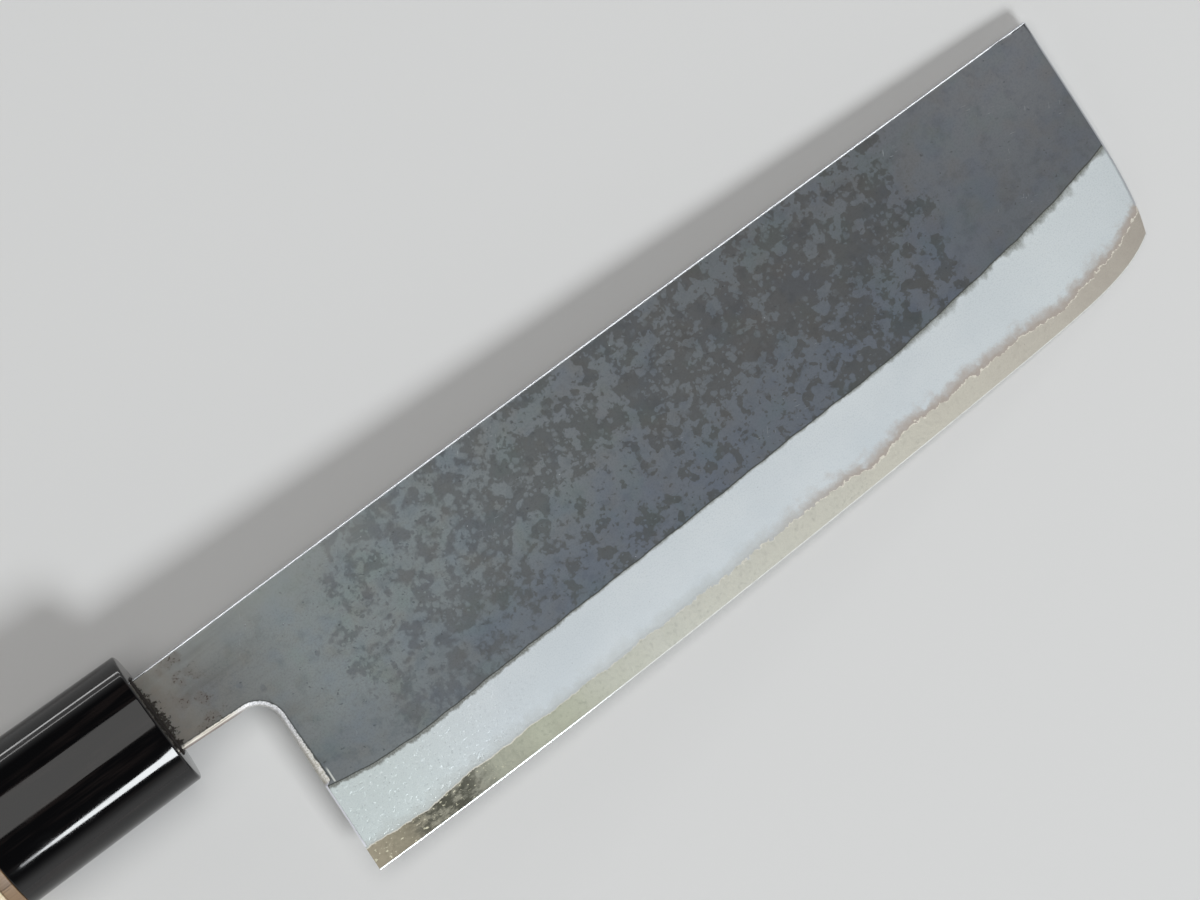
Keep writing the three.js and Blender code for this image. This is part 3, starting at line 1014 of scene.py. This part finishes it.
# Forge scale above the ridge, hazy ground iron below it, bare steel on the eased edges.
def black_iron():
    n = Finish("black_iron")
    above_ridge = n.fact("above_ridge")
    inside = n.fact("inside")
    drift = n.noise(26)
    plain = plain_scale(n, drift)
    islands = scale_islands(n, island_cover(n, above_ridge, drift, plain), plain)
    stain = neck_stain(n)
    face = neck_colour(n, scale_colour(n, above_ridge, islands), stain)
    grain = ground_grain(n)
    ground, ground_rough = ground_colour(n, grain)
    at_ridge = ragged_ridge(n, above_ridge)
    on_bevel = n.step(at_ridge, 0.05, -0.05)
    colour, fringe = ridge_fringe(n, n.mix(on_bevel, face, ground), at_ridge, grain)

    # The eased edges, duller under the neck, down the choil and along the square end
    under = n.times(n.step(n.along, 20, 18), n.step(n.height, 5, 2))
    at_end = n.times(n.step(n.along, tip_x - 2, tip_x), n.step(n.height, spine_above_axis, 3))
    dull = n.larger(under, at_end)
    bare = bare_edges(n, inside, under, stain)
    colour = n.mix(bare, colour, bare_colour(n, inside, under))
    colour = choil_painted_shadow_and_highlight(n, colour, above_ridge, inside, under)

    rough = n.blend(on_bevel, n.blend(islands, 0.50, 0.42), ground_rough)
    rough = n.blend(n.times(fringe, 0.6), rough, 0.6)
    rough = n.blend(bare, rough, n.blend(dull, 0.22, 0.5))
    metal = n.blend(bare, n.blend(on_bevel, 0.65, 1.0), n.blend(dull, 1.0, 0.2))
    relief = iron_relief(n, islands, on_bevel, grain)
    n.surface(Base_Color=colour, Roughness=rough, Metallic=metal)
    n.bump(n.times(relief, n.rest(bare)), 0.02)
    return n.material


# The hard core: satin steel up to the weld, with a bright line painted along the edge as a highlight.
def hard_steel():
    n = Finish("hard_steel")
    colour, rough = ground_colour(n, ground_grain(n))
    # A painted highlight along the edge, whiter at the heel where the steel is also polished.
    edge_highlight = n.step(n.fact("above_edge"), 0.21, 0.11)
    heel_edge_highlight = n.times(edge_highlight, n.step(n.along, edge_land_end[1], edge_land_end[0]))
    colour = n.mix(edge_highlight, colour, n.mix(heel_edge_highlight, seen_as(236, 238, 234), seen_as(218, 224, 226)))
    n.surface(Base_Color=colour, Roughness=n.blend(heel_edge_highlight, rough, 0.30), Metallic=1.0)
    n.bump(n.noise(0.4, 3.0, 0.6, stretch=(1, 0.2, 1), shift=4), 0.003)
    return n.material


# Dull resin that has been smeared round the neck.
def dark_resin():
    n = Finish("dark_resin")
    lumps = n.noise(0.8, 3.0, 0.6)
    colour = n.mix(lumps, seen_as(14, 11, 10), seen_as(36, 28, 23))
    n.surface(Base_Color=colour, Roughness=n.spread(lumps, 0.3, 0.6))
    n.bump(lumps, 0.08)
    return n.material


# Glossy black with faint smears along it and a little dust.
def black_horn():
    n = Finish("black_horn")
    veins = n.noise(1.6, 4.0, 0.65, stretch=(0.05, 1, 1))
    colour = n.mix(n.step(veins, 0.50, 0.68), seen_as(2, 2, 3), seen_as(24, 19, 18))
    dust = n.times(n.specks(3.4, 0.10, 13.0), n.step(n.noise(8, shift=19), 0.45, 0.6))
    colour = n.paint(colour, (150, 150, 148), dust, 0.7)
    smear = n.noise(2.0, 4.0, 0.65, stretch=(0.25, 1, 1), shift=37)
    gloss = n.scaled(smear, 0.35, 0.75, 0.03, 0.11)
    n.surface(Base_Color=colour, Roughness=n.blend(dust, gloss, 0.6), IOR=1.5)
    ripples = n.times(n.noise(0.7, 3.0, 0.6, stretch=(0.02, 1, 1), shift=45), 0.16)
    n.bump(n.plus(n.noise(5.0, stretch=(0.2, 1, 1), shift=43), ripples), 0.012)
    return n.material


# Straight-grained wood: growth layers round a heart that lies off to one side, fibres and pores.
def wood(name, shades, layer, heart, gloss, own_frame=True):
    n = Finish(name, own_frame)
    pale, deep, pore = shades
    wander = n.noise(30, stretch=(0.2, 1, 1))
    across = n.minus(n.height, heart[0])
    depth = n.minus(n.depth, heart[1])
    radius = n.math("SQRT", n.plus(n.times(across, across), n.times(depth, depth)))
    layers = n.math("FRACT", n.plus(n.math("DIVIDE", radius, layer), n.times(wander, 5.0)))
    late = n.times(n.step(layers, 0.25, 0.92), n.step(layers, 1.0, 0.94))
    fibres = n.noise(0.5, 3.0, 0.65, stretch=(0.03, 1, 1), shift=3)
    streaks = n.plus(n.times(late, 0.5), n.times(n.step(fibres, 0.35, 0.75), 0.4))
    colour = n.mix(streaks, seen_as(*pale), seen_as(*deep))
    pores = n.step(n.noise(0.28, stretch=(0.09, 1, 1), shift=9), 0.66, 0.72)
    colour = n.paint(colour, pore, pores, 0.55)
    n.surface(Base_Color=colour, Roughness=n.spread(fibres, gloss, gloss + 0.15))
    grain = n.minus(n.times(fibres, 0.6), n.times(pores, 0.8))
    n.bump(grain, 0.03)
    return n.material


def pale_wood():
    shades = ((232, 219, 192), (205, 180, 140), (168, 138, 98))
    return wood("pale_wood", shades, layer=1.7, heart=(38, 46), gloss=0.42)


def brown_wood():
    shades = ((142, 116, 88), (92, 70, 50), (54, 38, 27))
    return wood("brown_wood", shades, layer=1.1, heart=(20, -30), gloss=0.38)


# The dowel keeps its solid, whose mesh has no places in the knife's own frame.
def dowel_wood():
    shades = ((206, 180, 138), (174, 142, 98), (128, 98, 62))
    return wood("dowel_wood", shades, layer=1.4, heart=(15, 25), gloss=0.5, own_frame=False)


# Pieces of the blade, with rows closer together at the ridge, the weld and the edge

def claddings():
    face_shares = [*np.arange(1, face_rows) / face_rows, 0.975, 0.99, 1.0]
    bevel_shares = [0.06, 0.14, 0.25, 0.38, 0.52, 0.66, 0.78, 0.87, 0.94, 0.985, 1.0]
    lower_rows = [between(notch_row_y, ridge_y, share) for share in face_shares]
    lower_rows += [between(ridge_y, cladding_foot_y, share) for share in bevel_shares]
    plan = blade_plan(upper_shares, lower_rows)
    x, y, _ = plan
    facts = blade_facts(x, y)
    inner = seam_half(x)
    at_foot = np.abs(y - cladding_foot_y(x)) < same_place
    outer = np.where(at_foot & (x >= heel_x - 1), inner, np.maximum(blade_half(x, y), inner))
    iron = black_iron()
    plate("cladding_right", plan, outer, inner, facts, iron)
    plate("cladding_left", plan, -inner, -outer, facts, iron)


def core_steel():
    hidden_rows = [0.0, 0.5, 1.0]
    shown_shares = [0, 0.06, 0.2, 0.4, 0.6, 0.75, 0.85, 0.9, 0.925, 0.95, 0.975, 1.0]
    plan = blade_plan(hidden_rows, [between(weld_y, edge_y, share) for share in shown_shares])
    x, y, _ = plan
    half = core_surface(x, y)
    half[np.abs(y - edge_y(x)) < same_place] = 0
    plate("core_steel", plan, half, -half, blade_facts(x, y), hard_steel())


# Pieces of the handle

def ferrule():
    rings = [neck_ring(0, seal_wall), *end_round(0, -1, ferrule_rim)]
    rings += side_rings(-ferrule_rim, -ferrule_length + joint_ease, ferrule_rings)
    rings += end_round(-ferrule_length, 1, joint_ease)[::-1]
    rings += [round_ring(-ferrule_length, bore_radius), round_ring(tang_root_x, bore_radius)]
    rings.append(neck_ring(tang_root_x, seal_wall))
    ring_solid("ferrule", rings, False, black_horn())


def spacer_ring():
    rings = end_round(spacer_front_x, -1, joint_ease)
    rings += end_round(spacer_rear_x, 1, joint_ease)[::-1]
    rings += [round_ring(spacer_rear_x, bore_radius), round_ring(spacer_front_x, bore_radius)]
    ring_solid("spacer_ring", rings, False, brown_wood())


def handle_body():
    bore_end_x = dowel_end_x - dowel_clearance
    rings = [round_ring(bore_end_x, bore_radius), round_ring(body_front_x, bore_radius)]
    rings += end_round(body_front_x, -1, joint_ease)
    rings += side_rings(body_front_x - joint_ease, -handle_length + butt_round, handle_rings)
    rings += end_round(-handle_length, 1, butt_round)[::-1]
    ring_solid("handle_body", rings, True, pale_wood())


# The resin swells out of the slot unevenly and thins towards the neck.
def tang_seal():
    uneven = 0.5 + 0.3 * np.sin(5 * turns + 0.7) + 0.2 * np.sin(11 * turns + 2.1)
    outside = seal_wall - glue_gap
    rings = [neck_ring(-seal_depth, glue_gap), neck_ring(-seal_depth, outside), neck_ring(0, outside)]
    swell = [(0.75, 0.75), (0.45, 1.0), (0.2, 0.8), (0.0, 0.45)]  # place across the wall, height
    for share, height in swell:
        ring = neck_ring(0, lerp(glue_gap, outside, share))
        ring[:, 0] += seal_proud * height * lerp(0.5, 1.0, uneven)
        rings.append(ring)
    ring_solid("tang_seal", [ring[::-1] for ring in rings], False, dark_resin())


def handle_dowel():
    dowel = frame["nodes"]["handle_dowel"]
    dowel.data.materials.clear()
    dowel.data.materials.append(dowel_wood())


# Stage, in metres, and the photograph's view of the knife, in the knife's own millimetres

floor_grey = (0.76, 0.76, 0.755, 1)
floor_below = 0.0001
floor_reach = 8.0
photo_turn = math.radians(36.22)  # of the knife above the photograph's lower edge
photo_middle = (84.5, -7.59)  # the knife's place at the middle of the photograph
photo_width = 197.95  # of the blade's plane
camera_height = 0.7
sensor_width = 36.0
lamp_distance = 3.0

flat_x = Vector((axis_x.x, axis_x.y, 0)).normalized()
up = Vector((0, 0, 1))
flat_y = up.cross(flat_x)


def floor():
    n = Finish("floor")
    n.surface(Base_Color=floor_grey, Roughness=0.9)
    mesh = bpy.data.meshes.new("floor")
    corners = [(-1, -1), (1, -1), (1, 1), (-1, 1)]
    level = cad_box[0].z - floor_below
    mesh.from_pydata([(floor_reach * x, floor_reach * y, level) for x, y in corners], [], [(0, 1, 2, 3)])
    mesh.materials.append(n.material)
    made = bpy.data.objects.new("floor", mesh)
    scene.collection.objects.link(made)


# A lamp on a sphere round the knife, turned to face it and slid along the blade. The tilt runs from
# straight overhead towards the spine's side.
def softbox(name, shape, colour, tilt, slide, length, width, radiance):
    lean = math.radians(tilt)
    away = flat_y * math.sin(lean) + up * math.cos(lean)
    area = length * width * (math.pi / 4 if shape == "ELLIPSE" else 1)
    lamp = bpy.data.lights.new(name, "AREA")
    lamp.shape = shape
    lamp.size = length
    lamp.size_y = width
    lamp.energy = radiance * math.pi * area
    lamp.color = colour
    made = bpy.data.objects.new(name, lamp)
    side = away.cross(flat_x)
    turned = Matrix((flat_x, side, away)).transposed().to_4x4()
    made.matrix_world = Matrix.Translation(away * lamp_distance + flat_x * slide) @ turned
    scene.collection.objects.link(made)


def lamps():
    warm = (1.0, 0.99, 0.97)
    cool = (0.95, 0.98, 1.0)
    white = (1.0, 1.0, 1.0)
    softbox("ceiling", "RECTANGLE", warm, tilt=10.4, slide=0, length=3.4, width=2.1, radiance=1.62)
    softbox("edge_side", "ELLIPSE", cool, tilt=-51, slide=0.42, length=1.4, width=0.8, radiance=22.0)
    softbox("spine_side", "RECTANGLE", white, tilt=87, slide=0, length=2.6, width=0.16, radiance=8.0)
    softbox("spine_side_upper", "RECTANGLE", white, tilt=76, slide=0, length=2.6, width=0.08, radiance=5.0)


# A pale room that darkens overhead.
def world():
    low_light = (0.80, 0.80, 0.80, 1)
    overhead_light = (0.06, 0.06, 0.062, 1)
    made = bpy.data.worlds.new("studio")
    scene.world = made
    made.use_nodes = True
    tree = made.node_tree
    direction = add_node(tree, "ShaderNodeTexCoord", {}).outputs["Generated"]
    height = add_node(tree, "ShaderNodeSeparateXYZ", {0: direction}).outputs["Z"]
    inputs = {"Value": height, "From Min": 0.12, "From Max": 0.5}
    rise = add_node(tree, "ShaderNodeMapRange", inputs, interpolation_type="SMOOTHSTEP").outputs["Result"]
    inputs = {0: rise, 6: low_light, 7: overhead_light}
    shade = add_node(tree, "ShaderNodeMix", inputs, data_type="RGBA").outputs[2]
    put(tree, shade, tree.nodes["Background"].inputs["Color"])


def camera():
    lens = bpy.data.cameras.new("camera")
    lens.sensor_width = sensor_width
    lens.lens = sensor_width * camera_height / (photo_width * millimetre)
    lens.clip_start = 0.01
    lens.clip_end = 100
    made = bpy.data.objects.new("camera", lens)
    right = flat_x * math.cos(photo_turn) - flat_y * math.sin(photo_turn)
    above = flat_x * math.sin(photo_turn) + flat_y * math.cos(photo_turn)
    middle = Vector(to_row((*photo_middle, 0)))
    turned = Matrix((right, above, up)).transposed().to_4x4()
    made.matrix_world = Matrix.Translation(middle + up * camera_height) @ turned
    scene.collection.objects.link(made)
    scene.camera = made


bpy.context.scene.view_settings.view_transform = "Standard"
camera()
floor()
lamps()
world()
claddings()
core_steel()
ferrule()
spacer_ring()
handle_body()
tang_seal()
handle_dowel()
